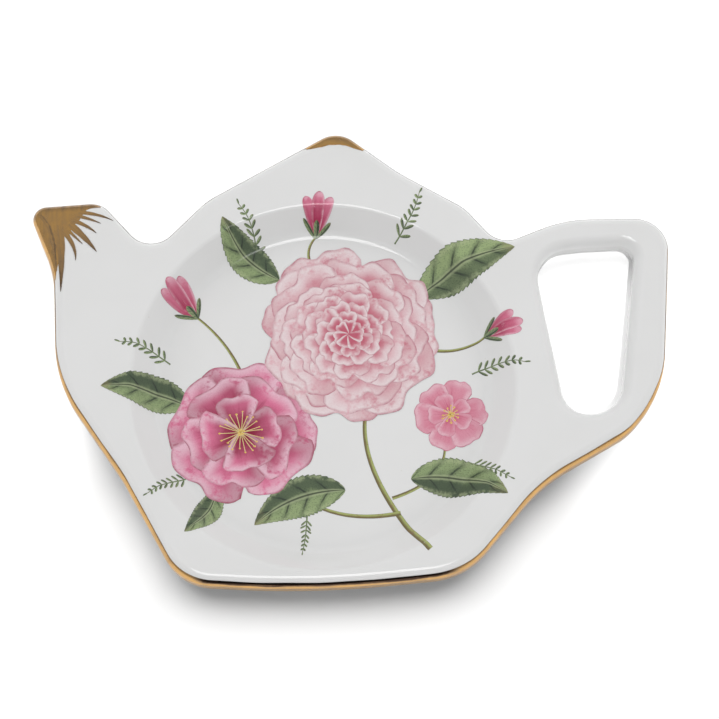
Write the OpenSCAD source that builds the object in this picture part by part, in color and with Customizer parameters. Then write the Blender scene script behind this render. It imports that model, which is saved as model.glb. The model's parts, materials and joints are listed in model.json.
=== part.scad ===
// Tea bag rest: a china dish in the outline of a teapot, with a round well, a gilt edge and a printed spray.
// The part stands on its foot ring at z = 0, with the middle of its outline over the origin.
// The spout points to -X, the handle to +X and the knob to +Y.

/* [Dish] */
// Length that spout, flange and handle add to the well
spout_and_handle = 49.6; // [44:0.2:62]
// Flange behind the well, up to the knob's peak
back_flange = 15.35; // [13:0.05:20]
// Thickness of the flange
flange_t = 4.8; // [4.2:0.1:5.2]
// Radius of the roll along the upper edge
edge_roll = 2; // [1.8:0.1:2.4]
// Radius along the lower edge
under_roll = 1.4; // [0.8:0.1:1.6]

/* [Well] */
// Diameter where the well's wall meets the flange; the dish grows and shrinks round it
well_dia = 72.4; // [60:0.2:84]
// Depth of the floor below the flange
well_depth = 4.2; // [3:0.1:5]
// Horizontal run of the sloping wall
well_run = 4.7; // [3.6:0.1:6]
// Radius of the soft break at the top of the wall
lip_blend = 1.6; // [0.6:0.1:2.4]
// Radius of the hollow where wall and floor meet
floor_blend = 3; // [1:0.1:5]
// Rim left between the well and the front edge
front_rim = 2.75; // [2.7:0.05:6]

/* [Underside] */
// Thickness of the clay under the well
shell_t = 3.2; // [2.6:0.1:4]
// Radius where the bowl meets the flange from below
bowl_cove = 1.6; // [0.6:0.1:2]
// Height of the foot ring
foot_h = 1.8; // [1.7:0.1:3]
// Width of the foot ring
foot_w = 3.4; // [2.4:0.1:5]
// Set-back of the foot ring from the bend of the bowl
foot_set = 3; // [2.9:0.1:8]
// Radius on the edges of the foot ring
foot_round = 0.8; // [0.3:0.05:0.8]

/* [Gilding] */
// Thickness of the fired gold, drawn thick enough to see
gilt_t = 0.12; // [0.06:0.01:0.25]
// Width of the gold on the knob, either side of its peak
knob_gilt_w = 6.4; // [4:0.1:9]

/* [Printed spray] */
// Thickness of the fired print, drawn thick enough to see
print_t = 0.1; // [0.05:0.01:0.2]
// Radius of the pale bloom as a share of the well's radius
pale_bloom_share = 0.5; // [0.4:0.01:0.54]
// Radius of the deep bloom as a share of the well's radius
deep_bloom_share = 0.39; // [0.3:0.01:0.44]
// Radius of the small bloom as a share of the well's radius
small_bloom_share = 0.2; // [0.14:0.01:0.24]
// Width of a stem at its foot
stem_w = 1.1; // [0.7:0.1:1.6]

/* [Hidden] */

china_white = [0.93, 0.93, 0.92];
gold = [0.76, 0.55, 0.27];

// Fineness of curves
arc_step = 8;
arc_chord = 2.6;
roll_steps = 6;
under_steps = 3;
round_fn = 96;
corners_a_petal = 8;
blade_steps = 9;
blade_point = 0.9;
stem_steps = 10;
// Least radius left along the upper edge of a pointed corner
least_round = 0.6;
// How far cuts and masks run past what they cut
overrun = 1;

// Length from the spout's tip to the back of the handle, and width from the knob to the front edge
dish_len = well_dia + spout_and_handle;
dish_wid = front_rim + well_dia + back_flange;

// Outline of the flange, anticlockwise from the front right of the belly.
// Each corner is a share of the length, a share of the width and its radius as a share of the body.
outline_shares = [
    [0.159, -0.485, 0.166], // belly, front right
    [0.281, -0.298, 0.354], // hollow between belly and handle
    [0.417, -0.197, 0.151], // handle, lower bend
    [0.477, -0.105, 0.260], // handle, outer bend
    [0.507, 0.282, 0.070], // handle, top corner
    [0.342, 0.286, 0.279], // handle, shoulder
    [0.236, 0.231, 0.057], // notch between handle and lid
    [0.184, 0.318, 0.113], // lid, right shoulder
    [0.081, 0.405, 0.300], // hollow beside the knob
    [-0.014, 0.510, 0.060], // knob
    [-0.226, 0.350, 0.151], // lid, left shoulder
    [-0.315, 0.229, 0.057], // notch between lid and spout
    [-0.393, 0.353, 0.050], // spout, upper lip
    [-0.510, 0.345, 0.029], // spout, tip
    [-0.466, 0.194, 0.251], // spout, neck
    [-0.460, -0.049, 0.307], // spout, root
    [-0.355, -0.265, 0.300], // belly, left side
    [-0.269, -0.486, 0.116], // belly, front left
    [-0.070, -0.507, 2.001] // belly, front
];

// Finger hole in the handle, clockwise, in the same shares
finger_hole_shares = [
    [0.286, 0.209, 0.069], // top left corner
    [0.371, 0.221, 0.250], // bow of the top bar
    [0.450, 0.223, 0.029], // top right corner
    [0.407, -0.150, 0.069], // foot, right
    [0.325, -0.152, 0.056] // foot, left
];

// The round body is as wide as the dish, or less where the length leaves no room beside the handle
body_len_share = 0.742;
body_dia = min(dish_wid, dish_len * body_len_share);
// Middle of the well along the length
well_x_share = -0.048;

// Heights
floor_z = foot_h + shell_t;
top_z = floor_z + well_depth;
under_z = top_z - flange_t;

// Corner b of a path from a through b to c, turned into an arc of radius r.
// Each item is a point and the unit direction to the left of the path there.
function unit(v) = v / norm(v);
function left(v) = [-v.y, v.x];
function turned(v, angle) = [v.x * cos(angle) - v.y * sin(angle), v.x * sin(angle) + v.y * cos(angle)];
function bend(a, b, c, r) =
    let (u = unit(b - a), v = unit(c - b), turn = atan2(u.x * v.y - u.y * v.x, u * v),
        reach = r * tan(abs(turn) / 2), toward = turn > 0 ? 1 : -1,
        centre = b - reach * u + toward * r * left(u),
        steps = ceil(max(2, abs(turn) / arc_step, r * abs(turn) * PI / 180 / arc_chord)))
    r == 0
        ? [[b, unit(left(u + v))]]
        : [for (k = [0:steps]) let (n = turned(left(u), turn * k / steps)) [centre - toward * r * n, n]];
function xy(p) = [p.x, p.y];
function rounded(corners) =
    let (n = len(corners))
    [for (i = [0:n - 1])
        each bend(xy(corners[(i + n - 1) % n]), xy(corners[i]), xy(corners[(i + 1) % n]), corners[i].z)];
function open_path(corners) =
    let (n = len(corners))
    concat([[xy(corners[0]), left(unit(xy(corners[1] - corners[0])))]],
        [for (i = [1:n - 2]) each bend(xy(corners[i - 1]), xy(corners[i]), xy(corners[i + 1]), corners[i].z)],
        [[xy(corners[n - 1]), left(unit(xy(corners[n - 1] - corners[n - 2])))]]);
function points(path) = [for (e = path) e[0]];
function shifted(path, by) = [for (e = path) [e[0] + by, e[1]]];
function middle(v) = (min(v) + max(v)) / 2;
function sized(shares) =
    [for (s = shares) [s.x * dish_len, s.y * dish_wid, max(s.z * body_dia, edge_roll + least_round)]];

// Edge of the flange, with its middle over the origin, and edge of the finger hole
raw_edge = rounded(sized(outline_shares));
outline_mid = [middle([for (p = points(raw_edge)) p.x]), middle([for (p = points(raw_edge)) p.y])];
rim_edge = shifted(raw_edge, -outline_mid);
hole_edge = shifted(rounded(sized(finger_hole_shares)), -outline_mid);
front_y = min([for (p = points(rim_edge)) p.y]);

// Well and bowl
well_r = well_dia / 2;
floor_r = well_r - well_run;
well_pos = [well_x_share * dish_len, front_y + front_rim + well_r];
print_reach = well_r / 4;
wall_slope = atan2(well_depth, well_run);
bowl_low_r = floor_r + shell_t * tan(wall_slope / 2);
bowl_top_r = bowl_low_r + (under_z - foot_h) / tan(wall_slope);
foot_out_r = bowl_low_r - foot_set;
foot_in_r = foot_out_r - foot_w;

// Rows of the rolled edge as [inset from the outline, height, tilt of the surface], from the flange's top down
roll_rows = [for (k = [0:roll_steps]) let (a = 90 - 90 * k / roll_steps)
    [edge_roll * (1 - cos(a)), top_z - edge_roll * (1 - sin(a)), a]];
under_rows = [for (k = [0:under_steps]) let (a = 90 * k / under_steps)
    [under_roll * (1 - cos(a)), under_z + under_roll * (1 - sin(a)), -a]];
// The brushed line starts halfway round the roll and ends at the foot of the edge's upright side
gilt_from = roll_steps / 2;
gilt_rows = concat([for (k = [gilt_from:roll_steps]) roll_rows[k]], [under_rows[0]]);

function lifted(row, t) = [row[0] - t * cos(row[2]), row[1] + t * sin(row[2]), row[2]];
function ring(path, row) = [for (e = path) let (p = e[0] + row[0] * e[1]) [p.x, p.y, row[1]]];
function reversed(v) = [for (i = [len(v) - 1:-1:0]) v[i]];

// Closed solid through rings of equal length, the last of which joins the first
module sweep_rings(rings, inward = false) {
    m = len(rings);
    n = len(rings[0]);
    polyhedron([for (r = rings) each r], [for (i = [0:m - 1], j = [0:n - 1])
        let (a = i * n + j, b = i * n + (j + 1) % n, c = (i + 1) % m * n + (j + 1) % n, d = (i + 1) % m * n + j)
        each inward ? [[a, c, b], [a, d, c]] : [[a, b, c], [a, c, d]]]);
}

// Closed solid between two sheets, each a list of rows of points, the outer sheet above the inner one
module sheet_solid(inner, outer) {
    m = len(inner);
    n = len(inner[0]);
    loop = concat([for (j = [0:n - 1]) j], [for (i = [1:m - 1]) i * n + n - 1],
        [for (j = [n - 2:-1:0]) (m - 1) * n + j], [for (i = [m - 2:-1:1]) i * n]);
    polyhedron(concat([for (r = inner) each r], [for (r = outer) each r]), concat(
        [for (i = [0:m - 2], j = [0:n - 2])
            let (a = i * n + j, b = a + 1, c = b + n, d = a + n) each [[a, c, b], [a, d, c]]],
        [for (i = [0:m - 2], j = [0:n - 2])
            let (a = m * n + i * n + j, b = a + 1, c = b + n, d = a + n) each [[a, b, c], [a, c, d]]],
        [for (k = [0:len(loop) - 1])
            let (a = loop[k], b = loop[(k + 1) % len(loop)]) each [[a, b, b + m * n], [a, b + m * n, a + m * n]]]));
}

module rolled_edge(path) {
    sweep_rings([for (row = concat(roll_rows, under_rows, [[edge_roll, under_z, 0]])) ring(path, row)]);
}

module flange_web() {
    translate([0, 0, under_z])
        linear_extrude(flange_t)
            difference() {
                polygon([for (e = rim_edge) e[0] + edge_roll * e[1]]);
                polygon([for (e = hole_edge) e[0] + edge_roll * e[1]]);
            }
}

// Outside of the bowl with its foot ring, reaching up into the flange
bowl_corners = [
    [0, foot_h, 0],
    [foot_in_r, foot_h, foot_round],
    [foot_in_r, 0, foot_round],
    [foot_out_r, 0, foot_round],
    [foot_out_r, foot_h, foot_round],
    [bowl_low_r, foot_h, shell_t],
    [bowl_top_r, under_z, bowl_cove],
    [bowl_top_r + shell_t, under_z, 0]
];
bowl_path = open_path(bowl_corners);
module bowl() {
    ends_r = bowl_path[len(bowl_path) - 2][0].x;
    rotate_extrude($fn = round_fn)
        polygon(concat([for (i = [0:len(bowl_path) - 2]) bowl_path[i][0]],
            [[ends_r, under_z + flange_t / 2], [0, under_z + flange_t / 2]]));
}

// Surface of the well in section, from its middle over the floor and up to the flange
well_path = open_path([
    [0, floor_z, 0],
    [floor_r, floor_z, floor_blend],
    [well_r, top_z, lip_blend],
    [well_r + print_reach, top_z, 0]
]);
module well_cut() {
    lip = len(well_path) - 2;
    rotate_extrude($fn = round_fn)
        polygon(concat([for (i = [0:lip]) well_path[i][0]],
            [[well_path[lip][0].x, top_z + overrun], [0, top_z + overrun]]));
}

module china_dish() {
    color(china_white)
        difference() {
            union() {
                flange_web();
                rolled_edge(rim_edge);
                rolled_edge(hole_edge);
                translate(well_pos) bowl();
            }
            translate(well_pos) well_cut();
        }
}

// Gold line brushed round the outer side of the flange
module gilt_edge_line() {
    color(gold)
        sweep_rings(concat([for (row = gilt_rows) ring(rim_edge, row)],
            [for (row = reversed(gilt_rows)) ring(rim_edge, lifted(row, gilt_t))]), inward = true);
}

// Gold over the roll above the brushed line and the flat beside it, along the part of the edge in picked
module gilt_cap(picked) {
    rows = [for (k = [0:gilt_from]) roll_rows[k]];
    path = [for (j = picked) rim_edge[j]];
    sheet_solid([for (row = rows) ring(path, row)], [for (row = rows) ring(path, lifted(row, gilt_t))]);
    translate([0, 0, top_z])
        linear_extrude(gilt_t)
            polygon([for (e = path) e[0] + edge_roll * e[1]]);
}

// Brushed outline of the gold on the spout: tips of the rays and the hollows between them
spout_rays_shares = [
    [-0.386, 0.345], [-0.417, 0.332], [-0.376, 0.310], [-0.421, 0.318], [-0.393, 0.301], [-0.424, 0.311],
    [-0.401, 0.279], [-0.430, 0.303], [-0.398, 0.237], [-0.436, 0.284], [-0.421, 0.255], [-0.441, 0.278],
    [-0.431, 0.218], [-0.452, 0.279], [-0.449, 0.225], [-0.453, 0.150], [-0.457, 0.205]
];
// Parts of the outline that the gold on the spout may reach, and where it ends on the roll
spout_reach_shares = [-0.34, 0.10];
spout_gold_end_share = 0.17;
module gilt_spout_tip() {
    reach = [spout_reach_shares.x * dish_len, spout_reach_shares.y * dish_wid];
    picked = [for (j = [0:len(rim_edge) - 1])
        if (rim_edge[j][0].x < reach.x && rim_edge[j][0].y > reach.y) j];
    color(gold)
        intersection() {
            gilt_cap(picked);
            translate([0, 0, under_z])
                linear_extrude(flange_t + overrun)
                    polygon(concat([for (s = spout_rays_shares) [s.x * dish_len, s.y * dish_wid]],
                        [[-dish_len, spout_gold_end_share * dish_wid], [-dish_len, dish_wid], [reach.x, dish_wid]]));
        }
}

// Half of the edge that the knob's gold may reach, and the bend of its brush stroke, as shares of its half width
knob_reach_share = 2;
knob_brush_share = 3;
module gilt_knob_tip() {
    peak = [for (e = rim_edge) if (e[0].y == max([for (p = points(rim_edge)) p.y])) e[0]][0];
    picked = [for (j = [0:len(rim_edge) - 1])
        if (abs(rim_edge[j][0].x - peak.x) < knob_reach_share * knob_gilt_w && rim_edge[j][0].y > 0) j];
    brush_r = knob_brush_share * knob_gilt_w;
    color(gold)
        intersection() {
            gilt_cap(picked);
            translate([peak.x, peak.y, under_z])
                linear_extrude(flange_t + overrun)
                    difference() {
                        translate([-knob_gilt_w, -knob_gilt_w]) square([2 * knob_gilt_w, 2 * knob_gilt_w]);
                        translate([0, -edge_roll - brush_r]) circle(brush_r, $fn = round_fn);
                    }
        }
}

// Thin layer that follows the dish's upper surface, cut to the motif drawn by its children
module printed() {
    translate(well_pos)
        intersection() {
            rotate_extrude($fn = round_fn)
                polygon(concat(points(well_path), reversed([for (e = well_path) e[0] + print_t * e[1]])));
            translate([0, 0, under_z]) linear_extrude(flange_t + overrun) children();
        }
}

// Printed motifs. Places are shares of the well's radius from its middle, directions are degrees from +X.
pale_at_shares = [0.14, 0.30];
// The other blooms lie beside the pale one: direction from it, and how far they are tucked under it
deep_way = 222.4;
deep_tuck_share = 0.113;
small_way = -41.5;
small_tuck_share = 0.008;
pale_at = well_r * pale_at_shares;
deep_at = pale_at + well_r * (pale_bloom_share + deep_bloom_share - deep_tuck_share) * [cos(deep_way), sin(deep_way)];
small_at = pale_at
    + well_r * (pale_bloom_share + small_bloom_share - small_tuck_share) * [cos(small_way), sin(small_way)];
// [x share, y share, direction, length share, bow of the midrib as a share of the length]
leaf_shares = [
    [0.44, -0.50, -14, 0.50, 0.10],
    [0.10, -0.55, 200, 0.50, -0.10],
    [0.52, 0.50, 24, 0.56, 0.08],
    [-0.70, -0.08, 168, 0.46, -0.08],
    [-0.22, 0.62, 132, 0.44, 0.10],
    [-0.56, -0.52, 238, 0.30, 0.10]
];
leaf_w_share = 0.42;
leaf_fullness = 0.75;
// [x share, y share, direction, length share]
bud_shares = [
    [-0.66, 0.42, 128, 0.24],
    [-0.02, 0.86, 84, 0.22],
    [0.86, 0.26, 18, 0.20]
];
bud_w_share = 0.56;
bud_fullness = 0.62;
// [start, knee, end], each an x share and a y share, and the width as a share of a stem's foot
stem_shares = [
    [[0.22, -0.12], [0.26, -0.48], [0.52, -0.90], 1],
    [[-0.24, -0.46], [0.02, -0.66], [0.38, -0.68], 0.75],
    [[0.62, -0.30], [0.56, -0.48], [0.34, -0.60], 0.6],
    [[-0.40, 0.02], [-0.50, 0.24], [-0.66, 0.42], 0.6],
    [[0.02, 0.60], [-0.06, 0.74], [-0.02, 0.86], 0.6],
    [[0.58, 0.20], [0.72, 0.20], [0.86, 0.26], 0.6]
];

pink_pale = [0.93, 0.75, 0.78];
pink_deep = [0.82, 0.34, 0.47];
pink_mid = [0.88, 0.55, 0.64];
leaf_green = [0.36, 0.50, 0.30];
stem_green = [0.55, 0.58, 0.34];

// Outline of a bloom with its petals' tips at a share of the well's radius and hollows between them
module bloom(petals, reach_share) {
    r = well_r * reach_share;
    corners = petals[0] * corners_a_petal;
    polygon([for (i = [0:corners - 1])
        let (a = 360 * i / corners, swell = pow(abs(cos(petals[0] * a / 2)), petals[2]))
        r * (petals[1] + (1 - petals[1]) * swell) * [cos(a), sin(a)]]);
}
// [petals, share left at the hollows, roundness of the petals]
pale_petals = [13, 0.87, 0.8];
deep_petals = [5, 0.62, 0.45];
small_petals = [6, 0.55, 0.6];
module pale_bloom() { translate(pale_at) bloom(pale_petals, pale_bloom_share); }
module deep_bloom() { translate(deep_at) bloom(deep_petals, deep_bloom_share); }
module small_bloom() { translate(small_at) bloom(small_petals, small_bloom_share); }

// Pointed blade along a bowed midrib, widest nearer its base
module blade(length, width, bow, fullness) {
    rib = [for (k = [0:blade_steps]) let (t = k / blade_steps) length * [t, 4 * bow * t * (1 - t)]];
    half = [for (k = [0:blade_steps])
        let (t = k / blade_steps) width / 2 * pow(sin(180 * pow(t, fullness)), blade_point)];
    polygon(concat([for (k = [0:blade_steps]) rib[k] - [0, half[k]]],
        [for (k = [blade_steps - 1:-1:1]) rib[k] + [0, half[k]]]));
}
module leaves() {
    for (s = leaf_shares)
        translate(well_r * [s[0], s[1]]) rotate(s[2])
            blade(well_r * s[3], leaf_w_share * well_r * s[3], s[4], leaf_fullness);
}
module buds() {
    for (s = bud_shares)
        translate(well_r * [s[0], s[1]]) rotate(s[2])
            blade(well_r * s[3], bud_w_share * well_r * s[3], 0, bud_fullness);
}
module stems() {
    for (s = stem_shares) {
        mid = [for (k = [0:stem_steps]) let (t = k / stem_steps)
            well_r * ((1 - t) * (1 - t) * s[0] + 2 * t * (1 - t) * s[1] + t * t * s[2])];
        half = stem_w * s[3] / 2;
        side = [for (k = [0:stem_steps]) left(unit(mid[min(k + 1, stem_steps)] - mid[max(k - 1, 0)]))];
        polygon(concat([for (k = [0:stem_steps]) mid[k] + half * side[k]],
            [for (k = [stem_steps:-1:0]) mid[k] - half * side[k]]));
    }
}

module print_pale_bloom() { color(pink_pale) printed() pale_bloom(); }
module print_deep_bloom() {
    color(pink_deep)
        printed() difference() {
            deep_bloom();
            pale_bloom();
        }
}
module print_small_bloom() {
    color(pink_mid)
        printed() difference() {
            small_bloom();
            pale_bloom();
        }
}
module print_buds() { color(pink_deep) printed() buds(); }
module print_leaves() {
    color(leaf_green)
        printed() difference() {
            leaves();
            pale_bloom();
            deep_bloom();
            small_bloom();
            buds();
        }
}
module print_stems() {
    color(stem_green)
        printed() difference() {
            stems();
            pale_bloom();
            deep_bloom();
            small_bloom();
            buds();
            leaves();
        }
}

china_dish();
gilt_edge_line();
gilt_spout_tip();
gilt_knob_tip();
print_pale_bloom();
print_deep_bloom();
print_small_bloom();
print_buds();
print_leaves();
print_stems();
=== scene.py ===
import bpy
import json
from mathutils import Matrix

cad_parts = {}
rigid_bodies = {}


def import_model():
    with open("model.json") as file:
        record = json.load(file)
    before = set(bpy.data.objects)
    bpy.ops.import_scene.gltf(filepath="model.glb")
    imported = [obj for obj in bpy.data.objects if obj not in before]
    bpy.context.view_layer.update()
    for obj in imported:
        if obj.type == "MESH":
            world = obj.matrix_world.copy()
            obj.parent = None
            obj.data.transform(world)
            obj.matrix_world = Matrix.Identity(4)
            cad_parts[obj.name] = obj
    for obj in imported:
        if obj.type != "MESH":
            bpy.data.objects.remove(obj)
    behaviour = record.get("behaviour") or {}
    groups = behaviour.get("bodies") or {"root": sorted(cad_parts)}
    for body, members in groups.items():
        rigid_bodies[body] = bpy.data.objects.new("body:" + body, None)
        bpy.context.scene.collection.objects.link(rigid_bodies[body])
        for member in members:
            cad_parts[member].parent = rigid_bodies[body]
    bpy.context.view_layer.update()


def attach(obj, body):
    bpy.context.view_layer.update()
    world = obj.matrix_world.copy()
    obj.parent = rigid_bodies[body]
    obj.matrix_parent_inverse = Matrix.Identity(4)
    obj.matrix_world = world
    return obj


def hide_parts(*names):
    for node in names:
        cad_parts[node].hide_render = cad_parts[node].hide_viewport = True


bl_info = {
    "name": "Tea Bag Rest",
    "version": (1, 0, 0),
    "blender": (4, 5, 0),
    "location": "View3D > Sidebar > Tea Bag Rest",
    "description": "Builds a glazed china tea bag rest with a gilt edge and a printed spray of flowers",
    "category": "Add Mesh",
}

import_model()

import json
import math
import random

import bpy
import numpy as np
from bpy.props import FloatProperty, FloatVectorProperty, IntProperty, PointerProperty
from mathutils import Vector
from mathutils.geometry import delaunay_2d_cdt, tessellate_polygon

BODY = "root"
MM = 0.001

# Longest chord of an outline and of a profile in millimetres, and longest step of an arc in degrees
OUTLINE_CHORD, PROFILE_CHORD, ARC_STEP = 0.8, 0.4, 5
# Spokes of the round well and bowl
SPOKES = 288
# Least by which an outline's corner is rounder than the roll, and how far a profile runs past its last bend
CORNER_SPARE, RUN_ON = 0.6, 0.001
# The foot ring is bare up to this share of its rounding
BARE_SHARE = 0.45
# How deep the underside of a film lies in the glaze
PRINT_SUNK, GOLD_SUNK = 0.005, 0.02
# Heights of the printed layers over the glaze, and the steps from petal to petal and from line to line
SPRIG_LIFT, STEM_LIFT, LEAF_LIFT, BUD_LIFT, CUP_LIFT = 0.018, 0.022, 0.026, 0.040, 0.046
SMALL_LIFT, DEEP_LIFT, PALE_LIFT, PETAL_STEP, LINE_STEP = 0.040, 0.045, 0.070, 0.0015, 0.0005
# Heights of the gold tips and of the rays over the edge line's gold, and the step from ray to ray
TIP_LIFT, RAY_LIFT, RAY_STEP = 0.012, 0.015, 0.003
GILDING_SEED = 5
# Tone of the table's mottle as a share of its colour
DIMMER = 0.985
# Largest outward part of the roll's normal where a point is looked up from above; at 1 the face is upright
STEEPEST = 0.98
# Width of a stamen's thread, and heights of its dot of pollen and of the eye's dots over the petals
THREAD_W, POLLEN_LIFT, EYE_LIFT, THREAD_STEP = 0.14, 0.008, 0.010, 0.0003
# Teeth along a leaf, and its greatest width as a share of its length
LEAF_TEETH, LEAF_WIDE_SHARE = 19, 0.43

# Outline of the flange, anticlockwise from the front right of the belly.
# Each corner is a share of the length, a share of the width and its radius as a share of the body.
OUTLINE = (
    (0.159, -0.485, 0.166), (0.281, -0.298, 0.354), (0.417, -0.197, 0.151), (0.477, -0.105, 0.260),
    (0.507, 0.282, 0.070), (0.342, 0.286, 0.279), (0.236, 0.231, 0.057), (0.184, 0.318, 0.113),
    (0.081, 0.405, 0.300), (-0.014, 0.510, 0.060), (-0.226, 0.350, 0.151), (-0.315, 0.229, 0.057),
    (-0.393, 0.353, 0.050), (-0.510, 0.345, 0.029), (-0.466, 0.194, 0.251), (-0.460, -0.049, 0.307),
    (-0.355, -0.265, 0.300), (-0.269, -0.486, 0.116), (-0.070, -0.507, 2.001),
)
# Finger hole in the handle, clockwise, in the same shares
FINGER_HOLE = (
    (0.286, 0.209, 0.069), (0.371, 0.221, 0.250), (0.450, 0.223, 0.029), (0.407, -0.150, 0.069),
    (0.325, -0.152, 0.056),
)
# Middle of the well along X, and length of the body without spout and handle, as shares of the length
WELL_X_SHARE, BODY_LEN_SHARE = -0.048, 0.742

# Brushed rays on the spout: root, a point halfway, tip and width of each, in shares of length and width
SPOUT_RAYS = (
    ((-0.428, 0.328), (-0.400, 0.3215), (-0.373, 0.308), 0.0062),
    ((-0.430, 0.320), (-0.411, 0.312), (-0.392, 0.301), 0.0054),
    ((-0.437, 0.310), (-0.4155, 0.296), (-0.399, 0.279), 0.0064),
    ((-0.442, 0.302), (-0.4175, 0.269), (-0.398, 0.236), 0.0112),
    ((-0.444, 0.288), (-0.432, 0.271), (-0.4205, 0.255), 0.0046),
    ((-0.4515, 0.286), (-0.4355, 0.252), (-0.431, 0.218), 0.0076),
    ((-0.459, 0.300), (-0.4538, 0.232), (-0.4535, 0.148), 0.0150),
)
# Gold that fills the spout's tip, in the same shares; its right side is where the rays start
SPOUT_CORE = (
    (-0.3935, 0.340), (-0.408, 0.3365), (-0.415, 0.333), (-0.423, 0.318), (-0.4255, 0.311), (-0.432, 0.302),
    (-0.439, 0.288), (-0.4415, 0.276), (-0.448, 0.277), (-0.452, 0.270), (-0.4540, 0.250), (-0.4550, 0.232),
    (-0.4560, 0.220), (-0.4580, 0.211), (-0.4610, 0.195), (-0.4625, 0.177), (-0.530, 0.165), (-0.530, 0.375),
    (-0.3935, 0.375),
)
# Ridge that the brush left along the spout's roll
SPOUT_RIDGE = (
    (-0.488, 0.325), (-0.482, 0.315), (-0.4745, 0.2995), (-0.471, 0.287), (-0.4675, 0.269), (-0.4645, 0.252),
    (-0.4635, 0.231), (-0.4625, 0.213), (-0.4615, 0.196),
)

# The printed spray. Places are shares of the well's radius from its middle, directions are degrees from +X.
PALE_AT = (0.14, 0.30)
# The other blooms lie beside the pale one: direction from it, and how far they are tucked under it
DEEP_BESIDE, SMALL_BESIDE = (222.4, 0.113), (-41.5, 0.008)
# Place, direction, length share and bow of the midrib as a share of the length
LEAVES = (
    ((0.44, -0.50), -14, 0.50, 0.10),
    ((0.10, -0.55), 200, 0.50, -0.10),
    ((0.52, 0.50), 24, 0.56, 0.08),
    ((-0.70, -0.08), 168, 0.46, -0.08),
    ((-0.22, 0.62), 132, 0.44, 0.10),
    ((-0.56, -0.52), 238, 0.30, 0.10),
)
# Place, direction and length share
BUDS = (((-0.66, 0.42), 128, 0.24), ((-0.02, 0.86), 84, 0.22), ((0.86, 0.26), 18, 0.20))
# Start, knee, end and width as a share of a stem's foot, which lies at the end of the first stems and at the
# start of those that carry buds
FIRST_BUD_STEM = 3
STEMS = (
    ((0.22, -0.12), (0.26, -0.48), (0.52, -0.90), 1.0),
    ((-0.24, -0.46), (0.02, -0.66), (0.38, -0.68), 0.75),
    ((0.62, -0.30), (0.56, -0.48), (0.34, -0.60), 0.6),
    ((-0.40, 0.02), (-0.50, 0.24), (-0.66, 0.42), 0.6),
    ((0.02, 0.60), (-0.06, 0.74), (-0.02, 0.86), 0.6),
    ((0.58, 0.20), (0.72, 0.20), (0.86, 0.26), 0.6),
)
# Fine sprigs: place, direction and length share
SPRIGS = (
    ((0.40, 0.80), 62, 0.30), ((-0.34, 0.74), 108, 0.30), ((-0.80, 0.16), 160, 0.28),
    ((-0.70, -0.46), 208, 0.24), ((0.74, -0.42), -30, 0.24), ((0.78, 0.06), 4, 0.28),
    ((-0.10, -0.68), 262, 0.20),
)


# Values in the sidebar

def number(name, text, value, **limits):
    """A plain number."""
    return FloatProperty(name=name, description=text, default=value, **limits)


def length(name, text, mm):
    """A size, given in millimetres and kept in metres."""
    return number(name, text, mm * MM, min=0.0, unit="LENGTH", precision=5)


def share(name, text, value):
    """A share."""
    return number(name, text, value, min=0.0, max=1.0, subtype="FACTOR")


def angle(name, text, degrees):
    """An angle, given in degrees and kept in radians."""
    return number(name, text, math.radians(degrees), unit="ROTATION")


def power(name, text, watts):
    """A lamp's power."""
    return number(name, text, watts, min=0.0, unit="POWER")


def colour(name, text, rgb):
    """A colour."""
    return FloatVectorProperty(name=name, description=text, default=rgb, size=3, min=0.0, max=1.0,
                               subtype="COLOR")


def value_names(group):
    """Names of a group's own values."""
    return [name for name in group.bl_rna.properties.keys() if name not in ("rna_type", "name")]


class DishSizes(bpy.types.PropertyGroup):
    """Sizes of the china dish."""
    spout_and_handle: length("Spout and handle", "Length that spout, flange and handle add to the well", 49.6)
    back_flange: length("Back flange", "Flange behind the well, up to the knob's peak", 15.35)
    flange_t: length("Flange", "Thickness of the flange", 4.8)
    edge_roll: length("Edge roll", "Radius along the upper edge", 2.0)
    under_roll: length("Lower roll", "Radius along the lower edge", 1.4)
    well_dia: length("Well", "Diameter where the wall meets the flange", 72.4)
    well_depth: length("Well depth", "Depth of the floor below the flange", 4.2)
    well_run: length("Wall run", "Horizontal run of the sloping wall", 4.7)
    lip_blend: length("Lip blend", "Radius at the top of the wall", 1.6)
    floor_blend: length("Floor blend", "Radius where wall and floor meet", 3.0)
    front_rim: length("Front rim", "Rim left between the well and the front edge", 2.75)
    shell_t: length("Shell", "Thickness of the clay under the well", 3.2)
    bowl_cove: length("Cove", "Radius where the bowl meets the flange from below", 1.6)
    foot_h: length("Foot height", "Height of the foot ring", 1.8)
    foot_w: length("Foot width", "Width of the foot ring", 3.4)
    foot_set: length("Foot set-back", "From the bend of the bowl to the foot ring", 3.0)
    foot_round: length("Foot rounding", "Radius on the edges of the foot ring", 0.8)


class GildingLook(bpy.types.PropertyGroup):
    """Thickness and tones of the fired gold."""
    gilt_t: length("Thickness", "How far the gold stands proud of the glaze", 0.05)
    knob_w: length("Knob gold", "Width of the gold either side of the knob's peak", 6.4)
    gold: colour("Gold", "Tone of the gold where it lies thick", (0.69, 0.405, 0.145))
    brushed: colour("Brushed gold", "Tone of the gold where the brush left it thin", (0.40, 0.26, 0.14))
    # The darkest gold: the dry ends of the brush, and the painted dark reflection on gold facing the front,
    # the back and the knob's outer roll
    dry_gold_and_painted_reflection: colour("Darkest gold", "Tone of the gold where the brush ran dry and where a dark reflection is painted", (0.085, 0.050, 0.035))


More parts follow.
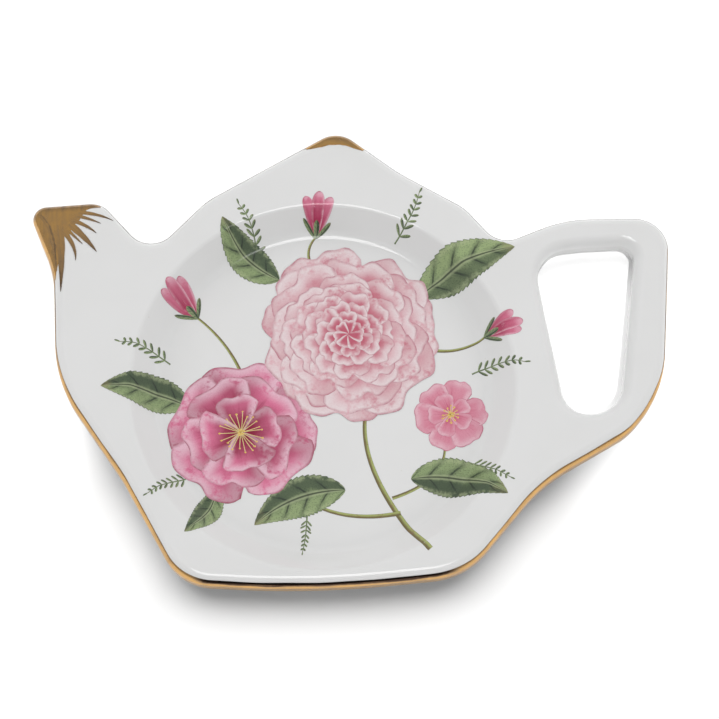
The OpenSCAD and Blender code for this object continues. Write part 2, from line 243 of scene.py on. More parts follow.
class PrintLook(bpy.types.PropertyGroup):
    """Sizes and colours of the printed spray."""
    pale_r: share("Pale bloom", "Radius of the pale bloom as a share of the well's", 0.5)
    deep_r: share("Deep bloom", "Radius of the deep bloom as a share of the well's", 0.39)
    small_r: share("Small bloom", "Radius of the small bloom as a share of the well's", 0.2)
    stem_w: length("Stem", "Width of a stem at its foot", 1.1)
    pale: colour("Pale petal", "Outer part of a pale petal", (0.71, 0.45, 0.49))
    deep: colour("Deep petal", "Outer part of a deep petal", (0.69, 0.18, 0.315))
    mid: colour("Small petal", "Outer part of a small petal", (0.68, 0.31, 0.39))
    leaf: colour("Leaf", "Dark side of a leaf", (0.050, 0.075, 0.045))
    leaf_light: colour("Leaf light", "Light side of a leaf", (0.30, 0.385, 0.185))
    stem: colour("Stem", "Sunny side of a stem", (0.36, 0.40, 0.14))
    seed: IntProperty(name="Seed", description="Draw of the petals' small differences", default=7, min=0)


class StageLook(bpy.types.PropertyGroup):
    """Light, floor and camera."""
    floor: colour("Floor", "Colour of the table", (0.70, 0.70, 0.70))
    lamp: power("Overhead lamp", "Power of the lamp overhead that the glaze mirrors", 1.7)
    fill: power("Fill lamps", "Power of each broad lamp round the dish", 3.6)
    key: power("Table lamp", "Power of the lamp at the back that draws the shadow", 20.5)
    beam: power("Beams", "Power of each narrow lamp on the table, in the finger hole and aside", 28.0)
    dome: number("Room", "Brightness of the room all round", 0.50, min=0.0)
    focal: number("Lens", "Focal length of the camera in millimetres", 105.0, min=20.0, unit="CAMERA")
    distance: length("Distance", "From the camera to the dish", 395.65)
    azimuth: angle("Azimuth", "Camera turned round from the front", -1.68)
    elevation: angle("Elevation", "Camera raised above the table", 70.67)
    aim: FloatVectorProperty(name="Aim", description="Point in the middle of the picture", size=3,
                             unit="LENGTH", default=(0.001113, -0.001528, 0.0080), precision=5)


# Lines: every sample is a point and the unit normal on its left, which points into the clay

def unit(v):
    """A vector brought to length 1."""
    return v / np.linalg.norm(v)


def left(v):
    """A direction turned a quarter to the left."""
    return np.array((-v[1], v[0]))


def way(turn):
    """The direction at an angle."""
    return np.array((math.cos(turn), math.sin(turn)))


def held(values):
    """Values kept between 0 and 1."""
    return np.clip(values, 0, 1)


def doubled_area(a, b, c):
    """Twice a triangle's area seen from above, positive where it runs anticlockwise."""
    return (b[0] - a[0]) * (c[1] - a[1]) - (b[1] - a[1]) * (c[0] - a[0])


def columns(samples):
    """Points and normals of samples, as two arrays."""
    return tuple(np.array(part) for part in zip(*samples))


def bend(a, b, c, radius, chord):
    """Samples of the arc that rounds the corner b between a and c."""
    u, v = unit(b - a), unit(c - b)
    turn = math.atan2(u[0] * v[1] - u[1] * v[0], u @ v)
    if radius == 0:
        return [(b, unit(left(u + v)))]
    reach, toward = radius * math.tan(abs(turn) / 2), math.copysign(1, turn)
    centre = b - reach * u + toward * radius * left(u)
    steps = math.ceil(max(4, math.degrees(abs(turn)) / ARC_STEP, radius * abs(turn) / chord))
    n0, samples = left(u), []
    for k in range(steps + 1):
        t = turn * k / steps
        n = np.array((n0[0] * math.cos(t) - n0[1] * math.sin(t), n0[0] * math.sin(t) + n0[1] * math.cos(t)))
        samples.append((centre - toward * radius * n, n))
    return samples


def closed_line(corners, chord):
    """Rounded closed line through corners (x, y, radius), with no gap over the chord."""
    xy = [np.array(c[:2]) for c in corners]
    samples = []
    for i, c in enumerate(corners):
        samples += bend(xy[i - 1], xy[i], xy[(i + 1) % len(xy)], c[2], chord)
    filled = []
    for (p, n), (q, m) in zip(samples, samples[1:] + samples[:1]):
        parts = math.ceil(max(1, np.linalg.norm(q - p) / chord))
        filled += [(p + (q - p) * k / parts, unit(n + (m - n) * k / parts)) for k in range(parts)]
    return columns(filled)


def open_line(corners, chord):
    """Rounded profile (radius from the middle, height) through corners with an optional fillet."""
    xy = [np.array(c[:2], float) for c in corners]
    fillets = [c[2] if len(c) > 2 else 0 for c in corners]
    samples = [(xy[0], left(unit(xy[1] - xy[0])))]
    for i in range(1, len(xy) - 1):
        samples += bend(xy[i - 1], xy[i], xy[i + 1], fillets[i], chord)
    samples.append((xy[-1], left(unit(xy[-1] - xy[-2]))))
    return columns(samples)


class Form:
    """The dish's shape in millimetres, worked out from its sizes."""

    def __init__(self, sizes):
        for name in value_names(sizes):
            setattr(self, name, getattr(sizes, name) / MM)
        self.dish_len = long = self.well_dia + self.spout_and_handle
        self.dish_wid = wide = self.front_rim + self.well_dia + self.back_flange
        body, least = min(wide, long * BODY_LEN_SHARE), self.edge_roll + CORNER_SPARE
        (self.rim, self.rim_in), (self.hole, self.hole_in) = (
            closed_line([(x * long, y * wide, max(r * body, least)) for x, y, r in corners], OUTLINE_CHORD)
            for corners in (OUTLINE, FINGER_HOLE))
        middle = (self.rim.min(0) + self.rim.max(0)) / 2
        self.rim, self.hole = self.rim - middle, self.hole - middle
        self.floor_z = self.foot_h + self.shell_t
        self.top_z = self.floor_z + self.well_depth
        self.under_z = self.top_z - self.flange_t
        self.side_h = self.flange_t - self.edge_roll - self.under_roll
        self.well_r = self.well_dia / 2
        self.floor_r = self.well_r - self.well_run
        self.well = np.array((WELL_X_SHARE * long, self.rim[:, 1].min() + self.front_rim + self.well_r))
        slope = math.atan2(self.well_depth, self.well_run)
        lip = self.lip_blend * math.tan(slope / 2)
        self.well_path = open_line((
            (0, self.floor_z), (self.floor_r, self.floor_z, self.floor_blend),
            (self.well_r, self.top_z, self.lip_blend),
            (self.well_r + lip + RUN_ON, self.top_z)), PROFILE_CHORD)
        low_r = self.floor_r + self.shell_t * math.tan(slope / 2)
        top_r = low_r + (self.under_z - self.foot_h) / math.tan(slope)
        out_r = low_r - self.foot_set
        in_r = out_r - self.foot_w
        cove = self.bowl_cove * math.tan(slope / 2)
        soft, high = self.foot_round, self.foot_h
        self.bowl_path = open_line((
            (0, high), (in_r, high, soft), (in_r, 0, soft), (out_r, 0, soft), (out_r, high, soft),
            (low_r, high, self.shell_t), (top_r, self.under_z, self.bowl_cove),
            (top_r + cove + RUN_ON, self.under_z)), PROFILE_CHORD)

    def edge_point(self, points, inward, reach, lift=0.0):
        """Points on the rounded edge and their normals.

        Reach runs up the edge's profile in millimetres: 0 is the top of the upright side, more goes over the
        roll and on to the flat top, less goes down the side and round below.
        """
        reach = np.broadcast_to(np.asarray(reach, float), len(points))
        over = np.clip(reach / self.edge_roll, 0, math.pi / 2)
        under = np.clip((-reach - self.side_h) / self.under_roll, 0, math.pi / 2)
        flat = np.clip(reach - self.edge_roll * math.pi / 2, 0, None)
        flat_under = np.clip(-reach - self.side_h - self.under_roll * math.pi / 2, 0, None)
        inset = self.edge_roll * (1 - np.cos(over)) + self.under_roll * (1 - np.cos(under))
        inset = inset + flat + flat_under
        z = self.top_z - self.edge_roll + self.edge_roll * np.sin(over) - np.clip(-reach, 0, self.side_h)
        z = z - self.under_roll * np.sin(under)
        out, up = np.cos(over) * np.cos(under), np.sin(over) - np.sin(under)
        normals = np.column_stack((-inward * out[:, None], up))
        spots = np.column_stack((points + inward * inset[:, None], z))
        return spots + normals * np.reshape(lift, (-1, 1)), normals

    def inset(self, xy):
        """Distance of points from the nearest part of the outline, and the outward direction there."""
        a = self.rim
        d = np.roll(a, -1, 0) - a
        best, toward = np.full(len(xy), 1e9), np.zeros((len(xy), 2))
        for start, step in zip(a, d):
            t = np.clip((xy - start) @ step / (step @ step), 0, 1)
            gap = start + t[:, None] * step - xy
            far = np.linalg.norm(gap, axis=1)
            near = far < best
            best[near] = far[near]
            toward[near] = gap[near] / np.maximum(far[near], 1e-9)[:, None]
        return best, toward

    def top(self, xy, near_edge=False):
        """Heights and normals of the dish's upper face at points seen from above."""
        arm = xy - self.well
        r = np.linalg.norm(arm, axis=1)
        path, normals = self.well_path
        z = np.interp(r, path[:, 0], path[:, 1])
        tilt = np.interp(r, path[:, 0], normals[:, 0])
        up = np.sqrt(1 - tilt ** 2)
        direction = arm / np.maximum(r, 1e-6)[:, None]
        n = np.column_stack((direction * tilt[:, None], up))
        if near_edge:
            depth, out = self.inset(xy)
            lean = np.clip(1 - depth / self.edge_roll, 0, STEEPEST)
            rolled = depth < self.edge_roll
            z = np.where(rolled, self.top_z - self.edge_roll * (1 - np.sqrt(1 - lean ** 2)), z)
            n = np.where(rolled[:, None], np.column_stack((out * lean[:, None], np.sqrt(1 - lean ** 2))), n)
        return z, n

    def well_point(self, shares):
        """Place given in shares of the well's radius from its middle."""
        return self.well + np.array(shares) * self.well_r

    def beside(self, look, reach, bearing, tuck):
        """Middle of a bloom that lies beside the pale one."""
        gap = look.pale_r + reach - tuck
        return self.well_point(PALE_AT + gap * way(math.radians(bearing)))


# Meshes

def shown(name, data):
    """An object in the scene that shows a mesh, a lamp or a camera."""
    made = bpy.data.objects.new(name, data)
    bpy.context.scene.collection.objects.link(made)
    return made


class Shell:
    """Points, normals, faces and painted values of one piece, gathered in millimetres."""

    def __init__(self):
        self.points, self.normals, self.faces, self.slots, self.paint = [], [], [], [], {}
        self.count = 0

    def row(self, points, normals, **paint):
        """Adds a row of points and gives their numbers."""
        self.points.append(points)
        self.normals.append(np.broadcast_to(normals, points.shape))
        for name in ("along", "across", "tone"):
            value = np.broadcast_to(np.asarray(paint.get(name, 0.0), float), len(points))
            self.paint.setdefault(name, []).append(value)
        self.count += len(points)
        return np.arange(self.count - len(points), self.count)

    def add(self, faces, slot=0):
        """Adds a list of faces."""
        self.faces += faces
        self.slots += [slot] * len(faces)

    def bridge(self, a, b, slot=0, closed=True):
        """Quads from row a to row b, facing the side that lies to the right of a when b is ahead."""
        a2, b2 = (np.roll(a, -1), np.roll(b, -1)) if closed else (a[1:], b[1:])
        a1, b1 = (a, b) if closed else (a[:-1], b[:-1])
        self.add(np.column_stack((a1, b1, b2, a2)).tolist(), slot)

    def fan(self, centre, ring):
        """Triangles from a point to the closed row round it."""
        self.add([(centre, int(p), int(q)) for p, q in zip(ring, np.roll(ring, -1))])

    def plate(self, rings, faces_up):
        """Flat face between an outer ring and the rings cut out of it."""
        where, index = np.concatenate(self.points), np.concatenate(rings)
        for corners in tessellate_polygon([[Vector(where[i]) for i in ring] for ring in rings]):
            i, j, k = (int(index[v]) for v in corners)
            up = doubled_area(where[i], where[j], where[k]) > 0
            self.add([(i, j, k) if up == faces_up else (i, k, j)])

    def film(self, top, bottom, closed=False):
        """Closed thin piece between a list of upper rows and the rows under them."""
        for upper, lower in zip(top, top[1:]):
            self.bridge(upper, lower, closed=closed)
        for upper, lower in zip(bottom, bottom[1:]):
            self.bridge(lower, upper, closed=closed)
        self.bridge(bottom[0], top[0], closed=closed)
        self.bridge(top[-1], bottom[-1], closed=closed)
        if closed:
            return
        for end, order in ((0, 1), (-1, -1)):
            sides = [np.array([row[end] for row in rows]) for rows in (top, bottom)]
            self.bridge(*sides[::order], closed=False)

    def piece(self, name, *materials):
        """The finished object."""
        mesh = bpy.data.meshes.new(name)
        mesh.from_pydata((np.concatenate(self.points) * MM).tolist(), [], self.faces)
        mesh.polygons.foreach_set("use_smooth", np.ones(len(mesh.polygons), bool))
        mesh.polygons.foreach_set("material_index", np.array(self.slots, np.int32))
        for paint, values in self.paint.items():
            layer = mesh.attributes.new(paint, "FLOAT", "POINT")
            layer.data.foreach_set("value", np.concatenate(values).astype(np.float32))
        mesh.normals_split_custom_set_from_vertices(np.concatenate(self.normals).tolist())
        mesh.validate()
        mesh.update()
        made = shown(name, mesh)
        for material in materials:
            mesh.materials.append(material)
        return made


def dress(made, slot, *nodes):
    """Ties a finished piece to the frame."""
    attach(made, BODY)
    if nodes:
        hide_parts(*nodes)


def wander(length_mm, draw, waves, size):
    """Closed random wave along a line, as a function of the distance along it."""
    parts = [(draw.uniform(0.4, 1.0) / len(waves) ** 0.5, k, draw.uniform(0, 2 * math.pi)) for k in waves]
    return lambda s: size * sum(a * np.sin(2 * math.pi * k * s / length_mm + p) for a, k, p in parts)


# Finishes

class Signal:
    """A value or colour inside a finish. Arithmetic on values adds their Math nodes."""

    def __init__(self, finish, socket):
        self.finish, self.socket = finish, socket

    def maths(self, operation, *terms):
        return self.finish.node("ShaderNodeMath", {"operation": operation}, dict(enumerate(terms)))

    def __add__(self, other):
        return self.maths("ADD", self, other)

    def __sub__(self, other):
        return self.maths("SUBTRACT", self, other)

    def __rsub__(self, other):
        return self.maths("SUBTRACT", other, self)

    def __mul__(self, other):
        return self.maths("MULTIPLY", self, other)

    def __abs__(self):
        return self.maths("ABSOLUTE", self)

    __radd__, __rmul__ = __add__, __mul__

    def sine(self):
        return self.maths("SINE", self)

    def greatest(self, other):
        return self.maths("MAXIMUM", self, other)

    def ease(self, start, end, low=0.0, high=1.0):
        """Goes smoothly from low to high while the value goes from start to end."""
        return self.finish.node("ShaderNodeMapRange", {"interpolation_type": "SMOOTHSTEP"}, {
            "Value": self, "From Min": start, "From Max": end, "To Min": low, "To Max": high})


class Finish:
    """The nodes of a material, or of the world."""

    def __init__(self, name, kept_in="materials"):
        self.owner = getattr(bpy.data, kept_in).new(name)
        self.owner.use_nodes = True
        self.tree = self.owner.node_tree
        self.tree.nodes.clear()

    def node(self, kind, settings=None, sockets=None, out=0):
        """Adds a node with its settings, then the values or links of its sockets, and gives one output."""
        made = self.tree.nodes.new(kind)
        for key, value in (settings or {}).items():
            if key == "stops":
                ramp = made.color_ramp.elements
                while len(ramp) < len(value):
                    ramp.new(1.0)
                for stop, (place, tone) in zip(ramp, value):
                    stop.position, stop.color = place, (*tone, 1.0)
            else:
                setattr(made, key, value)
        for key, value in (sockets or {}).items():
            if isinstance(value, Signal):
                self.tree.links.new(value.socket, made.inputs[key])
            else:
                made.inputs[key].default_value = value
        return Signal(self, made.outputs[out]) if len(made.outputs) else None

    def painted(self, *names):
        """Values painted on the points of a piece."""
        return [self.node("ShaderNodeAttribute", {"attribute_name": name}, out="Fac") for name in names]

    def place(self):
        """Position on the dish in millimetres."""
        spot = self.node("ShaderNodeTexCoord", out="Object")
        return self.node("ShaderNodeVectorMath", {"operation": "SCALE"}, {0: spot, "Scale": 1 / MM})

    def vector(self, x, y, z=0.0):
        return self.node("ShaderNodeCombineXYZ", sockets={0: x, 1: y, 2: z})

    def noise(self, vector, scale, detail=2.0, rough=0.5):
        return self.node("ShaderNodeTexNoise", sockets={
            "Vector": vector, "Scale": scale, "Detail": detail, "Roughness": rough})

    def mix(self, factor, a, b):
        """One colour over another; each is given as numbers or as a signal."""
        a, b = (c if isinstance(c, Signal) else (*c, 1.0) for c in (a, b))
        return self.node("ShaderNodeMix", {"data_type": "RGBA"}, {0: factor, 6: a, 7: b}, out=2)

    def coats(self, base, *coats):
        """Lays coats over a base in turn, each with its factor and its colour."""
        for factor, tone in coats:
            base = self.mix(factor, base, tone)
        return base

    def bump(self, height, depth_mm):
        return self.node("ShaderNodeBump", sockets={
            "Height": height, "Distance": depth_mm * MM, "Strength": 1.0})

    def surface(self, **sockets):
        """Closes the material with a Principled surface, whose sockets are named with _ for a space."""
        shader = self.node("ShaderNodeBsdfPrincipled", sockets={
            key.replace("_", " "): value for key, value in sockets.items()})
        self.node("ShaderNodeOutputMaterial", sockets={"Surface": shader})
        return self.owner


# Roughness and refraction of the fired prints
PRINT_GLOSS = {"Roughness": 0.12, "IOR": 1.5}


def china_glaze():
    """Clear gloss over white china: faint waves, a touch of colour in thick glaze, odd pinholes."""
    f = Finish("glazed_china")
    at = f.place()
    waves, peel, cloud = f.noise(at, 0.09, 1.0), f.noise(at, 0.55), f.noise(at, 0.05, 3.0, 0.6)
    pit = f.node("ShaderNodeTexVoronoi", sockets={"Vector": at, "Scale": 0.16}).ease(0.030, 0.012)
    thick, thin, pinhole = (0.705, 0.705, 0.700), (0.722, 0.722, 0.719), (0.52, 0.48, 0.42)
    base = f.coats(thick, (cloud.ease(0.3, 0.7), thin), (pit * 0.35, pinhole))
    return f.surface(Base_Color=base, Roughness=cloud.ease(0.35, 0.75, 0.055, 0.085), IOR=1.52,
                     Normal=f.bump(waves + peel * 0.10 - pit * 0.15, 0.030))


def bare_clay():
    """Unglazed foot: fine sanded grain and a little dust of use."""
    f = Finish("bare_clay_foot")
    at = f.place()
    grain, dust = f.noise(at, 6.0, 3.0, 0.7), f.noise(at, 0.35, 4.0, 0.65)
    clean, dusty, dark_grain = (0.74, 0.715, 0.67), (0.60, 0.565, 0.51), (0.48, 0.45, 0.40)
    base = f.coats(clean, (dust.ease(0.35, 0.7), dusty), (grain.ease(0.55, 0.75) * 0.3, dark_grain))
    return f.surface(Base_Color=base, Roughness=grain.ease(0.3, 0.7, 0.55, 0.8), Normal=f.bump(grain, 0.02))


def fired_gold(look):
    """Brushed and fired gold: streaks along the stroke, thinner and browner where the brush ran dry, and
    darker where its tone carries a painted dark reflection.
    """
    f = Finish("fired_gold")
    along, across, dryness_and_painted_reflection = f.painted("along", "across", "tone")
    streak = f.noise(f.vector(along * 0.10, across * 9.0), 1.0, 3.0, 0.6)
    cloud = f.noise(f.place(), 0.45, 3.0, 0.6)
    thin = (streak * 0.6 + cloud * 0.4).ease(0.38, 0.66)
    stops = ((0.0, look.gold), (0.5, look.brushed), (1.0, look.dry_gold_and_painted_reflection))
    # The tone carries dry brushing and the painted dark reflections on the gold
    base = f.node("ShaderNodeValToRGB", {"stops": stops}, {"Fac": dryness_and_painted_reflection + (thin - 0.35) * 0.35})
    return f.surface(Base_Color=base, Metallic=1.0, Roughness=thin.ease(0.0, 1.0, 0.15, 0.28),
                     Normal=f.bump(streak * 0.7 + cloud * 0.3, 0.008))


def petal_print(name, heart, face, light, line, opens=(0.0, 0.85), veins=0.55, cloud=0.25, tips=0.75):
    """Printed petal: deep at its heart, pale towards its edge, veined, with a thin broken line round it.

    It turns from heart to face over the stretch that opens gives, and veins, cloud and tips are the strengths
    of its veins, its patches of heart colour and its light edge.
    """
    f = Finish(name)
    along, across, tone = f.painted("along", "across", "tone")
    at, side = f.place(), abs(across)
    wash, grain = f.noise(at, 0.5, 4.0, 0.62), f.noise(at, 5.0, 1.0)
    streak = f.noise(f.vector(across * 6.0, along * 0.8, tone * 31.0), 1.6, 3.0, 0.6)
    depth = (along + (wash - 0.5) * 0.45 - (tone - 0.5) * 0.35).ease(*opens)
    bright = side.ease(0.50, 0.95).greatest(along.ease(0.72, 0.98)) * wash.ease(0.28, 0.52)
    rim = side.ease(0.94, 1.0).greatest(along.ease(0.955, 1.0))
    base = f.coats(
        heart, (depth, face),
        (f.noise(at, 0.09, 1.0).ease(0.36, 0.72) * cloud, heart),
        (streak.ease(0.50, 0.70) * along.ease(1.0, 0.3) * veins, line),
        (bright * tips, light),
        ((across + (wash - 0.5) * 0.8).ease(0.0, 1.1) * 0.45, heart),
        (rim * wash.ease(0.35, 0.60, 0.15, 0.75), line),
        (grain.ease(0.35, 0.65) * 0.10, line))
    return f.surface(Base_Color=base, **PRINT_GLOSS, Normal=f.bump(f.noise(at, 0.55), 0.006))


def leaf_print(look):
    """Printed leaf: a light and a dark half, hatched, with pale margins and a dark midrib in a pale band."""
    f = Finish("print_leaf_green")
    along, across, tone = f.painted("along", "across", "tone")
    at, side = f.place(), abs(across)
    wash, hatching = f.noise(at, 0.6, 4.0, 0.62), f.noise(at, 4.0, 2.0, 0.7)
    vein = (side * 5.0 - along * 30.0).sine()
    half = (across + (wash - 0.5) * 1.1).ease(-0.40, 0.50)
    margin, band, browned = (0.40, 0.46, 0.26), (0.42, 0.48, 0.28), (0.30, 0.20, 0.10)
    side_vein, hatch = (0.025, 0.035, 0.025), (0.030, 0.040, 0.028)
    midrib, outline = (0.030, 0.038, 0.025), (0.035, 0.055, 0.035)
    base = f.coats(
        look.leaf, (half * 0.75 + (tone - 0.3) * 0.5, look.leaf_light),
        (vein.ease(0.0, 0.85) * 0.35, look.leaf),
        (side.ease(0.62, 0.92) * wash.ease(0.36, 0.56) * 0.6, margin),
        (vein.ease(0.88, 0.99) * side.ease(1.0, 0.3) * 0.8, side_vein),
        (hatching.ease(0.48, 0.70) * 0.5, hatch),
        (side.ease(0.20, 0.08) * 0.5, band),
        (side.ease(0.07, 0.02) * 0.85, midrib),
        ((along + wash * 0.4).ease(1.0, 1.35) * 0.5, browned),
        (side.ease(0.92, 1.0) * 0.6, outline))
    return f.surface(Base_Color=base, **PRINT_GLOSS, Normal=f.bump(wash, 0.006))


def stem_print(look):
    """Printed stem: sunny on one side, brown on the other."""
    f = Finish("print_stem_green")
    along, across = f.painted("along", "across")
    wash = f.noise(f.place(), 0.9, 3.0, 0.6)
    shaded, outline, joint = (0.16, 0.13, 0.055), (0.09, 0.09, 0.04), (0.24, 0.11, 0.07)
    base = f.coats(
        shaded, ((across + (wash - 0.5)).ease(-0.5, 0.6), look.stem),
        (abs(across).ease(0.75, 1.0) * 0.6, outline),
        ((along * 40.0 + wash * 9.0).sine().ease(0.93, 1.0) * 0.5, joint))
    return f.surface(Base_Color=base, **PRINT_GLOSS)


# Thin pieces laid on the dish

def strip(line, widths, strands):
    """Shares across a line of points, and the grid that its widths give."""
    ahead = np.gradient(line, axis=0)
    ahead /= np.linalg.norm(ahead, axis=1)[:, None]
    v, side = np.linspace(-1.0, 1.0, strands), np.column_stack((-ahead[:, 1], ahead[:, 0]))
    return v, [p + np.outer(v * w / 2, s) for p, w, s in zip(line, widths, side)]


def curve(a, b, c, count):
    """Points of the smooth bend from a to c that b draws out."""
    t = np.linspace(0, 1, count)[:, None]
    return (1 - t) ** 2 * a + 2 * t * (1 - t) * b + t ** 2 * c


def through(a, b, c, count):
    """Smooth line that passes through b on its way from a to c."""
    return curve(a, 2 * b - (a + c) / 2, c, count)


def within(points, loop):
    """Which points lie inside a closed line."""
    x, y = points[:, 0], points[:, 1]
    inside = np.zeros(len(points), bool)
    for (ax, ay), (bx, by) in zip(loop, np.roll(loop, -1, 0)):
        crosses = (ay > y) != (by > y)
        with np.errstate(divide="ignore", invalid="ignore"):
            inside ^= crosses & (x < (bx - ax) * (y - ay) / (by - ay) + ax)
    return inside


class Motif(Shell):
    """A thin piece laid on the dish, with the dish's form and the random draw of its small differences."""

    def __init__(self, form, draw):
        super().__init__()
        self.form, self.draw = form, draw

    def cover(self, grid, lift, along, across, tone, sunk=PRINT_SUNK, below=1, near_edge=False):
        """Lays a grid of points seen from above on the dish as a closed film.

        Its underside lies as deep in the glaze as sunk, and below is -1 where that side's normals face down.
        """
        top, bottom = [], []
        for spots, u, v, t in zip(grid, along, across, np.broadcast_to(tone, len(grid))):
            z, n = self.form.top(spots, near_edge)
            base, paint = np.column_stack((spots, z)), {"along": u, "across": v, "tone": t}
            top.append(self.row(base + n * lift, n, **paint))
            bottom.append(self.row(base - n * sunk, n * below, **paint))
        self.film(top, bottom)

    def ribbon(self, line, widths, lift, tone, strands):
        """Film along a line of points, as wide as the widths say."""
        v, grid = strip(line, widths, strands)
        self.cover(grid, lift, np.linspace(0, 1, len(line)), [v] * len(line), tone)

    def petal(self, at, heading, long, wide, lift, tone, blunt, steps, frill=0.0, notch=0.0):
        """One petal from its foot: a frilled fan, or with no frill an oval with a blunt or pointed tip."""
        u, v, uniform = np.linspace(0.02, 1.0, steps[0]), np.linspace(-1.0, 1.0, steps[1]), self.draw.uniform
        sway, phase, second = uniform(-0.06, 0.06), uniform(0, 6.28), uniform(0, 6.28)
        slope = uniform(-2.0, 2.0) * frill
        ahead = way(heading)
        if frill:
            # Half the fan's width along it, then the reach of its outer edge: crown, waves, slope, notch
            half = wide / 2 * u ** 0.58
            crown = 0.66 + 0.34 * np.sqrt(1 - 0.97 * np.abs(v) ** blunt)
            wave = frill * (np.sin(v * 5.0 + phase) + 0.6 * np.sin(v * 12.0 + second)) + slope * v
            wave = wave - notch * np.exp(-(v / 0.25) ** 2)
        else:
            half = wide / 2 * u ** 0.62 * np.sqrt(np.clip(1 - (u * 0.998) ** blunt, 1e-4, 1)) / 0.86
            crown, wave = np.ones(len(v)), 0.0
        grid = []
        for share, reach in zip(u, half):
            forward = long * share * (crown + wave * share ** 2)
            edge = 1 + 1.2 * frill * math.sin(9 * share + second) * share
            aside = reach * v * edge + long * sway * share ** 2
            grid.append(at + forward[:, None] * ahead + aside[:, None] * left(ahead))
        self.cover(grid, lift, u, [v] * len(u), tone)

    def dot(self, at, radius, lift):
        """A small round touch of the brush."""
        foot, tone = at - np.array((radius, 0)), self.draw.random()
        self.petal(foot, 0.0, 2 * radius, 2.1 * radius, lift, tone, blunt=2.2, steps=(9, 7))

    def rosette(self, at, radius, rounds, lift, stray, **shape):
        """Rings of petals, the outer ones lowest; each ring has its count, reach, width, turn and tone."""
        uniform = self.draw.uniform
        for count, reach, wide, turn, tone in rounds:
            for k in range(count):
                heading = math.radians(turn + 360 * k / count + uniform(-stray, stray))
                long, across = radius * reach * uniform(0.93, 1.0), radius * wide * uniform(0.88, 1.12)
                self.petal(at, heading, long, across, lift, tone + uniform(-0.2, 0.2), **shape)
                lift += PETAL_STEP
        return lift


class Gilt(Motif):
    """A piece of gold brushed on the edge or over the flange."""

    def on_edge(self, line, inward, lift, rows, closed=False):
        """Film on the rounded edge, from rows that each have a reach and its paint."""
        top, bottom = [], []
        for reach, paint in rows:
            for sheet, side, height in ((top, 1, lift), (bottom, -1, -GOLD_SUNK)):
                points, normals = self.form.edge_point(line, inward, reach, height)
                sheet.append(self.row(points, normals * side, **paint))
        self.film(top, bottom, closed)

    def stroke(self, line, widths, lift, tones):
        """One stroke of the brush."""
        v, grid = strip(line, widths, 7)
        self.cover(grid, lift, 0.25 * np.arange(len(line)), [v * w * 0.12 for w in widths], tones,
                   GOLD_SUNK, -1, near_edge=True)

    def patch(self, corners, lift):
        """Covers the part of the flange inside the corners, down to where the edge line starts; it is painted
        darker where it turns to the back, a painted dark reflection.
        """
        form, border_step, grid_step, margin = self.form, 0.5, 0.45, 3
        depth = form.edge_roll * (1 - math.cos(math.pi / 4)) * 0.8
        fence, loop = form.rim + form.rim_in * depth, []
        for p, q in zip(corners, corners[1:] + corners[:1]):
            parts = math.ceil(np.linalg.norm(q - p) / border_step)
            loop += [p + (q - p) * k / parts for k in range(parts)]
        loop = np.array(loop)
        low, high = loop.min(0), loop.max(0)
        near = np.all((fence > low - margin) & (fence < high + margin), axis=1)
        gx, gy = np.meshgrid(*(np.arange(low[i], high[i], grid_step) for i in (0, 1)))
        grid = np.column_stack((gx.ravel(), gy.ravel()))
        grid = grid[within(grid, loop) & within(grid, fence)]
        n, m = len(loop), len(fence)
        edges = [(i, (i + 1) % n) for i in range(n)]
        edges += [(n + i, n + (i + 1) % m) for i in range(m) if near[i] and near[(i + 1) % m]]
        spots = [Vector(p) for p in (*loop, *fence, *grid)]
        verts, _, tris, *_ = delaunay_2d_cdt(spots, edges, [], 0, 1e-5)
        xy = np.array([(p.x, p.y) for p in verts])
        centres = np.array([xy[list(t)].mean(0) for t in tris])
        keep = within(centres, loop) & within(centres, fence)
        tris = [t for t, kept in zip(tris, keep) if kept]
        used = sorted({i for t in tris for i in t})
        renumber, xy = {old: new for new, old in enumerate(used)}, xy[used]
        z, normals = form.top(xy, near_edge=True)
        # Tone rises where the normal turns to the back: a painted dark reflection
        base, tone = np.column_stack((xy, z)), 0.10 + 0.6 * held(1.3 * normals[:, 1])
        paint = {"along": -xy[:, 1], "across": xy[:, 0] * 0.12, "tone": tone}
        top = self.row(base + normals * lift, normals, **paint)
        bottom = self.row(base - normals * GOLD_SUNK, -normals, **paint)
        border = {}
        for t in tris:
            i, j, k = (renumber[v] for v in t)
            if doubled_area(xy[i], xy[j], xy[k]) < 0:
                j, k = k, j
            self.add([top[[i, j, k]].tolist(), bottom[[i, k, j]].tolist()])
            for a, b in ((i, j), (j, k), (k, i)):
                if border.pop((b, a), None) is None:
                    border[(a, b)] = True
        self.add([(int(top[a]), int(bottom[a]), int(bottom[b]), int(top[b])) for a, b in border])


# Operators, one for each piece or group of like pieces

def form_now(context):
    """The dish's form, from the sizes in the sidebar."""
    return Form(context.scene.tea_rest_dish)


def print_now(context, order):
    """The print's look, and an empty motif with a random draw of its own."""
    look = context.scene.tea_rest_print
    return look, Motif(form_now(context), random.Random(look.seed + order))


